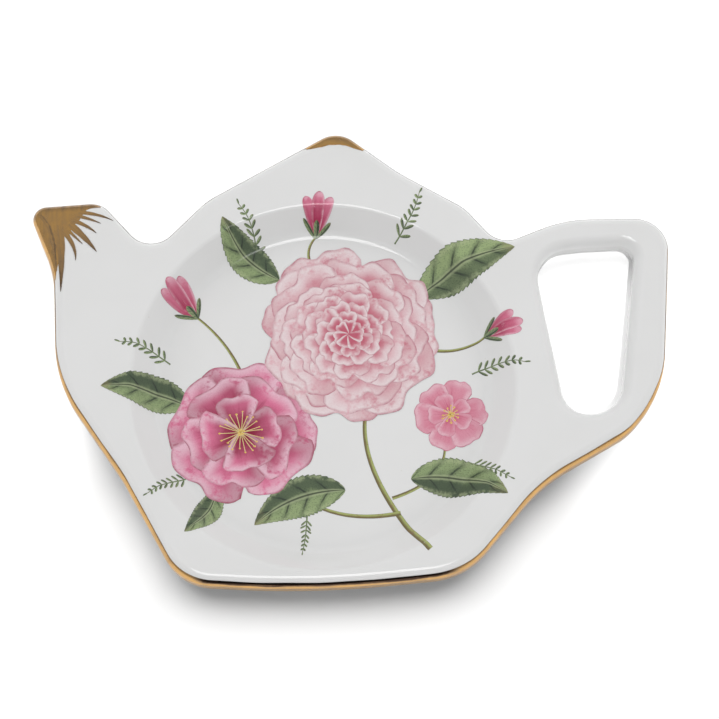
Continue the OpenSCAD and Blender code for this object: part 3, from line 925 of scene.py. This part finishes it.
class REST_OT_china_dish(bpy.types.Operator):
    """China dish with its rolled edge, round well, bowl and foot ring, in one piece"""
    bl_idname = "tea_rest.china_dish"
    bl_label = "China dish"

    def execute(self, context):
        form, shell = form_now(context), Shell()
        high, low = form.edge_roll * math.pi / 2, -form.side_h - form.under_roll * math.pi / 2
        reaches = np.concatenate((np.linspace(high, 0, 15), np.linspace(-form.side_h, low, 10)))
        edges = []
        for line, inward in ((form.rim, form.rim_in), (form.hole, form.hole_in)):
            rows = [shell.row(*form.edge_point(line, inward, reach)) for reach in reaches]
            for upper, lower in zip(rows, rows[1:]):
                shell.bridge(upper, lower)
            edges.append((rows[0], rows[-1]))
        sheets = [self.round_sheet(form, shell, *path, facing)
                  for path, facing in ((form.well_path, 1), (form.bowl_path, -1))]
        for side, faces_up in ((0, True), (1, False)):
            shell.plate([edges[0][side], sheets[side], edges[1][side]], faces_up)
        dress(shell.piece("glazed_dish", china_glaze(), bare_clay()), "glazed_china", "china_dish")
        return {"FINISHED"}

    def round_sheet(self, form, shell, path, normals, facing):
        """Turns a profile round the well's middle, facing up or down, and gives its outer row."""
        turns = np.linspace(0, 2 * math.pi, SPOKES, endpoint=False)
        spokes, rings = np.column_stack((np.cos(turns), np.sin(turns))), []
        for (r, z), (nr, nz) in zip(path[1:], normals[1:]):
            spots = np.column_stack((form.well + spokes * r, np.full(SPOKES, z)))
            rings.append(shell.row(spots, facing * np.column_stack((spokes * nr, np.full(SPOKES, nz)))))
        hub = shell.row(np.array([(*form.well, path[0][1])]), np.array((0.0, 0.0, facing)))[0]
        shell.fan(int(hub), rings[0][::facing])
        for k, (inner, outer) in enumerate(zip(rings, rings[1:]), 1):
            bare = facing < 0 and max(path[k][1], path[k + 1][1]) < form.foot_round * BARE_SHARE
            shell.bridge(*(inner, outer)[::facing], slot=int(bare))
        return rings[-1]


class REST_OT_gilding(bpy.types.Operator):
    """Gold brushed round the outer edge, over the knob's peak and over the spout's tip in rays"""
    bl_idname = "tea_rest.gilding"
    bl_label = "Gilding"

    def execute(self, context):
        form, look = form_now(context), context.scene.tea_rest_gilding
        gold, draw = fired_gold(look), random.Random(GILDING_SEED)
        lift = look.gilt_t / MM
        self.edge_line(form, gold, lift, draw)
        self.knob(form, gold, lift + TIP_LIFT, look.knob_w / MM, draw)
        self.spout(form, gold, lift, draw)
        return {"FINISHED"}

    def edge_line(self, form, gold, lift, draw):
        """The brushed line: high in front with a painted dark reflection on top; thin and browner at the
        neck, handle and back, from drier brushing and a painted dark reflection.
        """
        steps = np.linalg.norm(np.roll(form.rim, -1, 0) - form.rim, axis=1)
        around, s = steps.sum(), np.concatenate(((0,), np.cumsum(steps)[:-1]))
        aside, ahead = form.rim_in[:, 0], form.rim_in[:, 1]
        across, back = form.rim[:, 0] / form.dish_len, form.rim[:, 1] / form.dish_wid
        tips = ((across < -0.40) & (back > 0.20)) | (back > 0.935 * back.max())
        # Degrees up the roll at which the gold starts
        start = 26 + 19 * held(ahead / 0.4) + 6 * held((ahead - 0.4) / 0.6) + 4 * aside
        start = np.where(tips, 48, start)
        high = form.edge_roll * np.radians(start) + wander(around, draw, range(5, 40), 0.06)(s)
        low = -form.side_h - 0.30 + wander(around, draw, range(5, 34), 0.14)(s)
        # Down to fade the front gold is painted dark, a painted reflection; towards the sides and the back it
        # is drier and also painted darker, a painted dark reflection
        front = held((ahead - 0.90) / 0.08)
        fade = 0.24 + wander(around, draw, range(9, 70), 0.03)(s)
        # Browner towards the sides and the back: drier brushing, with a dark reflection painted in where the
        # edge faces away
        dryness_and_painted_reflection = 0.45 * held(1 - ahead / 0.3) + 0.15 * held(-ahead)
        rows = []
        for share in np.linspace(0, 1, 24):
            # dark is the painted dark reflection in front: a band at the top of the line that ends at fade
            dark = front * held((fade + 0.05 - share) / 0.10)
            tone = held(0.08 + 0.30 * np.exp(-share / 0.06) + 0.9 * dark + dryness_and_painted_reflection)
            rows.append((high + (low - high) * share, {"along": s, "across": share, "tone": tone}))
        gilt = Gilt(form, draw)
        gilt.on_edge(form.rim, form.rim_in, lift, rows, closed=True)
        dress(gilt.piece("gold_edge_line", gold), "fired_gold", "gilt_edge_line")

    def knob(self, form, gold, lift, half, draw):
        """The crescent on the knob, painted darker down its outer roll as a dark reflection."""
        peak = form.rim[form.rim[:, 1].argmax()]
        near = np.nonzero((form.rim[:, 1] > 0.8 * peak[1]) & (abs(form.rim[:, 0] - peak[0]) < half))[0]
        line = form.rim[near]
        # The crescent runs from just under the edge line's start to an arc over it, highest at the peak
        s, quarter = (line[:, 0] - peak[0]) / half, form.edge_roll * math.pi / 4
        high = quarter + 0.1 + 2.15 * (1 - s ** 2) ** 0.85 + wander(2.0, draw, range(2, 7), 0.05)(s)
        # Tone darkens down the roll: a painted dark reflection on the gold that faces the back
        rows = [(high + (quarter - 0.45 - high) * share,
                 {"along": s * half, "across": share * 0.4, "tone": 0.05 + 0.75 * share ** 2})
                for share in np.linspace(0, 1, 16)]
        gilt = Gilt(form, draw)
        gilt.on_edge(line, form.rim_in[near], lift, rows)
        dress(gilt.piece("gold_knob_tip", gold), "fired_gold", "gilt_knob_tip")

    def spout(self, form, gold, lift, draw):
        """The filled tip, the rays that leave it and the two strokes of the ridge along its roll."""
        gilt, size = Gilt(form, draw), np.array((form.dish_len, form.dish_wid))
        gilt.patch(list(np.array(SPOUT_CORE) * size), lift + TIP_LIFT)
        t = np.linspace(0, 1, 60)
        for k, (root, middle, tip, wide) in enumerate(SPOUT_RAYS):
            line = through(*(np.array(p) * size for p in (root, middle, tip)), len(t))
            widths = wide * form.dish_len * (1 - t ** 1.7) ** 0.9 * (1 + 0.04 * np.sin(t * 21 + k)) + 0.03
            gilt.stroke(line, widths, lift + RAY_LIFT + RAY_STEP * k, 0.15 + 0.55 * t ** 1.3)
        ridge, count = np.array(SPOUT_RIDGE) * size, 90
        at, steps = np.linspace(0, len(ridge) - 1, count), np.arange(float(count))
        line = np.column_stack([np.interp(at, range(len(ridge)), ridge[:, i]) for i in (0, 1)])
        taper = held(np.sin(np.linspace(0.25, math.pi - 0.1, count))) ** 0.5
        for shift, wide, stray, tone, rise in (
                (-0.15, 0.95, 0.22, 0.24, 0.040), (0.12, 0.34, 0.14, 0.56, 0.044)):
            run = line + (shift, 0)
            run[:, 0] += wander(count, draw, range(3, 12), 0.05)(steps)
            widths = np.maximum(wide * taper + wander(count, draw, range(3, 14), stray)(steps), 0.06)
            gilt.stroke(run, widths, lift + rise, tone * (0.7 + 0.3 * taper))
        dress(gilt.piece("gold_spout_tip", gold), "fired_gold", "gilt_spout_tip")


class REST_OT_pale_bloom(bpy.types.Operator):
    """Large pale bloom of many petals"""
    bl_idname = "tea_rest.pale_bloom"
    bl_label = "Pale bloom"

    def execute(self, context):
        look, bloom = print_now(context, 0)
        rounds = ((7, 1.0, 0.92, 4, 0.30), (7, 0.88, 0.80, 30, 0.36), (8, 0.75, 0.62, 10, 0.42),
                  (8, 0.62, 0.50, 33, 0.50), (9, 0.50, 0.38, 5, 0.58), (9, 0.38, 0.29, 28, 0.68),
                  (8, 0.27, 0.22, 12, 0.78), (7, 0.17, 0.15, 36, 0.90))
        bloom.rosette(bloom.form.well_point(PALE_AT), look.pale_r * bloom.form.well_r, rounds, PALE_LIFT,
                      stray=9.0, notch=0.06, frill=0.022, blunt=3.0, steps=(22, 27))
        finish = petal_print("print_pale_pink", (0.48, 0.10, 0.15), look.pale, (0.76, 0.67, 0.68),
                             (0.42, 0.12, 0.17), opens=(0.45, 1.0), veins=0.50, cloud=0.55, tips=0.92)
        dress(bloom.piece("pale_bloom", finish), "print_pale_pink", "print_pale_bloom")
        return {"FINISHED"}


class REST_OT_deep_bloom(bpy.types.Operator):
    """Deep pink bloom of three rings of broad petals round a tuft of stamens"""
    bl_idname = "tea_rest.deep_bloom"
    bl_label = "Deep bloom"

    def execute(self, context):
        look, bloom = print_now(context, 1)
        at, radius = bloom.form.beside(look, look.deep_r, *DEEP_BESIDE), look.deep_r * bloom.form.well_r
        rounds = ((5, 1.0, 1.22, 20, 0.4), (5, 0.80, 0.92, 52, 0.5), (4, 0.56, 0.66, 10, 0.65))
        lift = bloom.rosette(at, radius, rounds, DEEP_LIFT, stray=6.0, notch=0.06, frill=0.014, blunt=2.6,
                             steps=(26, 31))
        finish = petal_print("print_deep_pink", (0.22, 0.008, 0.035), look.deep, (0.77, 0.56, 0.64),
                             (0.28, 0.02, 0.06), opens=(0.15, 0.95), veins=0.6, cloud=0.60, tips=0.78)
        dress(bloom.piece("deep_bloom", finish), "print_deep_pink", "print_deep_bloom")
        tuft(bloom, at, radius * 0.30, 22, lift, "deep_bloom_stamens")
        return {"FINISHED"}


def tuft(bloom, at, reach, count, lift, name):
    """Stamens: fine threads that end in a dot of pollen, round an eye of such dots."""
    draw = bloom.draw
    threads, pollen = Motif(bloom.form, draw), Motif(bloom.form, draw)
    for k in range(count):
        turn = 2 * math.pi * k / count + draw.uniform(-0.12, 0.12)
        end = at + reach * draw.uniform(0.72, 1.0) * way(turn)
        line = curve(at, (at + end) / 2 + draw.uniform(-0.2, 0.2), end, 8)
        threads.ribbon(line, np.full(8, THREAD_W), lift + THREAD_STEP * k, 0.5, strands=3)
        pollen.dot(end, draw.uniform(0.17, 0.26), lift + POLLEN_LIFT)
    for k in range(9):
        pollen.dot(at + 0.22 * math.sqrt(k) * way(2.4 * k), 0.24, lift + EYE_LIFT)
    for motif, kind, ending, tones in (
            (threads, "stamen_thread", "_threads",
             ((0.62, 0.52, 0.22), (0.72, 0.55, 0.24), (0.80, 0.68, 0.36), (0.36, 0.20, 0.07))),
            (pollen, "stamen_pollen", "_pollen",
             ((0.66, 0.42, 0.08), (0.78, 0.55, 0.15), (0.85, 0.68, 0.30), (0.30, 0.15, 0.03)))):
        dress(motif.piece(name + ending, petal_print(kind, *tones)), "print_stem_green")


class REST_OT_small_bloom(bpy.types.Operator):
    """Small bloom of two rings of petals round a tuft of stamens"""
    bl_idname = "tea_rest.small_bloom"
    bl_label = "Small bloom"

    def execute(self, context):
        look, bloom = print_now(context, 2)
        at, radius = bloom.form.beside(look, look.small_r, *SMALL_BESIDE), look.small_r * bloom.form.well_r
        rounds = ((6, 1.0, 0.86, 10, 0.4), (5, 0.62, 0.52, 40, 0.6))
        lift = bloom.rosette(at, radius, rounds, SMALL_LIFT, stray=3.5, notch=0.04, frill=0.012, blunt=2.6,
                             steps=(18, 19))
        finish = petal_print("print_mid_pink", (0.56, 0.12, 0.20), look.mid, (0.75, 0.52, 0.58),
                             (0.40, 0.05, 0.12))
        dress(bloom.piece("small_bloom", finish), "print_mid_pink", "print_small_bloom")
        tuft(bloom, at, radius * 0.26, 12, lift, "small_bloom_stamens")
        return {"FINISHED"}


class REST_OT_buds(bpy.types.Operator):
    """Closed buds, each of folded petals in a green cup"""
    bl_idname = "tea_rest.buds"
    bl_label = "Buds"

    def execute(self, context):
        look, buds = print_now(context, 3)
        form, cups = buds.form, Motif(buds.form, buds.draw)
        # Lift, bluntness and steps of the petals, then swing, reach, width and tone of each
        folded = BUD_LIFT, 2.4, (34, 11), ((17, 0.90, 0.40, 0.2), (-17, 0.92, 0.40, 0.5), (0, 1.0, 0.44, 0.8))
        green = CUP_LIFT, 1.6, (24, 7), ((40, 0.52, 0.16, 0.3), (-40, 0.50, 0.16, 0.3), (0, 0.40, 0.22, 0.3))
        for share, heading, long in BUDS:
            at, turn, size = form.well_point(share), math.radians(heading), long * form.well_r
            for motif, foot, (lift, blunt, steps, petals) in (
                    (buds, at, folded), (cups, at - 0.05 * size * way(turn), green)):
                for k, (swing, reach, wide, tone) in enumerate(petals):
                    motif.petal(foot, turn + math.radians(swing), size * reach, size * wide,
                                lift + PETAL_STEP * k, tone, blunt, steps)
        finish = petal_print("print_bud_pink", (0.36, 0.025, 0.08), (0.63, 0.18, 0.28), (0.75, 0.46, 0.54),
                             (0.30, 0.02, 0.06))
        dress(buds.piece("buds", finish), "print_deep_pink", "print_buds")
        dress(cups.piece("bud_cups", leaf_print(look)), "print_leaf_green")
        return {"FINISHED"}


class REST_OT_leaves(bpy.types.Operator):
    """Long leaves and the fine sprigs between them"""
    bl_idname = "tea_rest.leaves"
    bl_label = "Leaves and sprigs"

    def execute(self, context):
        look, leaves = print_now(context, 4)
        form, finish, t = leaves.form, leaf_print(look), np.linspace(0, 1, 150)
        for k, (share, heading, long, bow) in enumerate(LEAVES):
            foot, ahead, size = form.well_point(share), way(math.radians(heading)), long * form.well_r
            knee = foot + ahead * size / 2 + left(ahead) * size * bow * 2
            teeth = 1.03 - 0.09 * ((t * LEAF_TEETH) % 1.0) ** 1.3
            widths = LEAF_WIDE_SHARE * size * np.sin(math.pi * t ** 0.80) ** 0.84 * teeth + 0.06
            midrib = curve(foot, knee, foot + ahead * size, len(t))
            leaves.ribbon(midrib, widths, LEAF_LIFT + PETAL_STEP * k, leaves.draw.random(), strands=17)
        dress(leaves.piece("leaves", finish), "print_leaf_green", "print_leaves")
        sprigs = Motif(form, leaves.draw)
        for k, (share, heading, long) in enumerate(SPRIGS):
            self.sprig(sprigs, form.well_point(share), math.radians(heading), long * form.well_r,
                       SPRIG_LIFT + LINE_STEP * k)
        dress(sprigs.piece("fine_sprigs", finish), "print_leaf_green")
        return {"FINISHED"}

    def sprig(self, sprigs, at, turn, size, lift):
        """A bent twig with seven pairs of leaflets and one at its end."""
        draw, ahead = sprigs.draw, way(turn)
        end = at + ahead * size
        line = curve(at, (at + end) / 2 + left(ahead) * size * draw.uniform(-0.22, 0.22), end, 50)
        sprigs.ribbon(line, np.linspace(0.30, 0.12, 50), lift, 0.6, strands=3)
        for k in range(1, 8):
            spot, turn_here = line[6 * k], math.atan2(*(line[6 * k] - line[6 * k - 2])[::-1])
            for side in (1, -1):
                heading = turn_here + side * draw.uniform(0.7, 1.0)
                sprigs.petal(spot, heading, size * (0.22 - 0.018 * k), size * 0.075, lift + PETAL_STEP,
                             draw.random(), blunt=1.8, steps=(14, 5))
        sprigs.petal(line[-3], turn, size * 0.12, size * 0.05, lift + PETAL_STEP, 0.5, blunt=1.8,
                     steps=(12, 5))


class REST_OT_stems(bpy.types.Operator):
    """Slender stems of the spray"""
    bl_idname = "tea_rest.stems"
    bl_label = "Stems"

    def execute(self, context):
        look, stems = print_now(context, 5)
        t = np.linspace(0, 1, 90)
        for k, (start, knee, end, share) in enumerate(STEMS):
            line = through(*(stems.form.well_point(p) for p in (start, knee, end)), len(t))
            foot = 1 - t if k >= FIRST_BUD_STEM else t
            widths = look.stem_w / MM * share * (0.62 + 0.38 * foot)
            stems.ribbon(line, widths, STEM_LIFT + LINE_STEP * k, 0.5, strands=5)
        dress(stems.piece("stems", stem_print(look)), "print_stem_green", "print_stems")
        return {"FINISHED"}


class REST_OT_stage(bpy.types.Operator):
    """Pale table, soft studio light and the camera"""
    bl_idname = "tea_rest.stage"
    bl_label = "Stage"

    def execute(self, context):
        look = context.scene.tea_rest_stage
        table = self.table(look)
        self.room(context, look)
        self.lamps(context, look, table)
        self.camera(context, look)
        context.scene.view_settings.view_transform = "Standard"
        return {"FINISHED"}

    def table(self, look):
        """The table's top, a little uneven in tone."""
        reach, count, shell = 1600.0, 9, Shell()
        steps, up = np.linspace(-reach, reach, count), np.array((0.0, 0.0, 1.0))
        rows = [shell.row(np.column_stack((steps, np.full(count, y), np.zeros(count))), up) for y in steps]
        for near, far in zip(rows, rows[1:]):
            shell.bridge(far, near, closed=False)
        f = Finish("pale_table")
        mottle = f.noise(f.place(), 0.02)
        base = f.mix(mottle.ease(0.3, 0.7), look.floor, [DIMMER * v for v in look.floor])
        made = shell.piece("pale_table", f.surface(
            Base_Color=base, Roughness=0.7, Emission_Color=(1, 1, 1, 1), Emission_Strength=0.02))
        return made

    def room(self, context, look):
        """Even light all round, with a dark patch low in front."""
        sky = Finish("studio", "worlds")
        toward_patch = sky.node("ShaderNodeVectorMath", {"operation": "DOT_PRODUCT"}, {
            0: sky.node("ShaderNodeTexCoord", out="Generated"), 1: (0.0, -0.966, 0.26)}, out="Value")
        stops = ((0.0, look.dome), (0.915, look.dome * 0.9), (0.965, 0.03))
        light = sky.node("ShaderNodeValToRGB", {"stops": [(place, (grey,) * 3) for place, grey in stops]},
                         {"Fac": toward_patch})
        glow = sky.node("ShaderNodeBackground", sockets={"Color": light})
        sky.node("ShaderNodeOutputWorld", sockets={"Surface": glow})
        context.scene.world = sky.owner

    def lamps(self, context, look, table):
        """The glaze mirrors one lamp overhead, and four low fills light the china.

        The table has lamps of its own: a broad one draws the shadow, and three beams thin it out in the
        finger hole and beside the handle and the spout.
        """
        on_dish, on_table = (bpy.data.collections.new(name) for name in ("lit_dish", "lit_table"))
        on_table.objects.link(table)
        for piece in context.scene.objects:
            if piece.type == "MESH" and piece is not table:
                on_dish.objects.link(piece)
        broad = (1.00, 0.80)
        for name, power, size, spot, lit, mirrored in (
                ("overhead", look.lamp, (0.36, 0.38), (-0.03, -0.07, 0.90), on_dish, True),
                ("front", look.fill * 0.90, broad, (0.0, -0.95, 0.55), on_dish, False),
                ("back", look.fill * 1.25, broad, (0.0, 0.95, 0.55), on_dish, False),
                ("left", look.fill, broad, (-0.95, 0.0, 0.55), on_dish, False),
                ("right", look.fill * 1.10, broad, (0.95, 0.0, 0.55), on_dish, False),
                ("key", look.key, (1.80, 1.05), (0.0, 0.42, 0.97), on_table, False)):
            lamp = bpy.data.lights.new(name, "AREA")
            lamp.shape, (lamp.size, lamp.size_y), lamp.energy = "ELLIPSE", size, power
            made = aimed(name, lamp, Vector(spot), -Vector(spot), lit)
            made.visible_glossy, made.visible_diffuse = mirrored, not mirrored
        # The beams come along the camera's line of sight, and so through the holes as they are seen
        to_lamp = Vector((-0.009, -0.298, 0.849))
        for name, spread, spot in (
                ("hole_beam", 2.6, (0.0460, 0.0165)), ("handle_beam", 3.2, (0.061, -0.014)),
                ("spout_beam", 3.4, (-0.062, 0.004))):
            beam, at = bpy.data.lights.new(name, "SPOT"), Vector((*spot, 0.0))
            beam.energy, beam.spot_size, beam.spot_blend = look.beam, math.radians(spread), 0.7
            beam.shadow_soft_size, beam.cycles.max_bounces = 0.008, 0
            aimed(name, beam, at + to_lamp, at - (at + to_lamp), on_table)

    def camera(self, context, look):
        """The camera at the photograph's angle."""
        lens = bpy.data.cameras.new("camera")
        lens.lens, lens.sensor_width, lens.clip_start = look.focal, 36.0, 0.01
        round_y, flat = look.azimuth, math.cos(look.elevation)
        away = Vector((math.sin(round_y) * flat, -math.cos(round_y) * flat, math.sin(look.elevation)))
        context.scene.camera = aimed("camera", lens, Vector(look.aim) + away * look.distance, -away)


def aimed(name, data, spot, facing, lit=None):
    """A camera, or a lamp that lights one collection, at a spot and facing a direction."""
    made = shown(name, data)
    made.location, made.rotation_euler = spot, facing.to_track_quat("-Z", "Y").to_euler()
    if lit:
        made.light_linking.receiver_collection = lit
    return made


PIECES = (REST_OT_china_dish, REST_OT_gilding, REST_OT_stems, REST_OT_leaves, REST_OT_buds,
          REST_OT_small_bloom, REST_OT_deep_bloom, REST_OT_pale_bloom, REST_OT_stage)


class REST_PT_sidebar(bpy.types.Panel):
    """Sizes, colours and the pieces of the tea bag rest"""
    bl_idname = "REST_PT_sidebar"
    bl_label = "Tea Bag Rest"
    bl_space_type = "VIEW_3D"
    bl_region_type = "UI"
    bl_category = "Tea Bag Rest"

    def draw(self, context):
        for title, name in zip(("Dish", "Gilding", "Print", "Stage"), GROUPS):
            box, values = self.layout.box(), getattr(context.scene, name)
            box.label(text=title)
            for value in value_names(values):
                box.prop(values, value)
        for piece in PIECES:
            self.layout.operator(piece.bl_idname)


GROUPS = {"tea_rest_dish": DishSizes, "tea_rest_gilding": GildingLook, "tea_rest_print": PrintLook,
          "tea_rest_stage": StageLook}
CLASSES = (*GROUPS.values(), *PIECES, REST_PT_sidebar)


def register():
    for part in CLASSES:
        bpy.utils.register_class(part)
    for name, group in GROUPS.items():
        setattr(bpy.types.Scene, name, PointerProperty(type=group))


def unregister():
    for name in GROUPS:
        delattr(bpy.types.Scene, name)
    for part in reversed(CLASSES):
        bpy.utils.unregister_class(part)


def main():
    register()
    for piece in PIECES:
        space, name = piece.bl_idname.split(".")
        getattr(getattr(bpy.ops, space), name)()


if __name__ == "__main__":
    main()
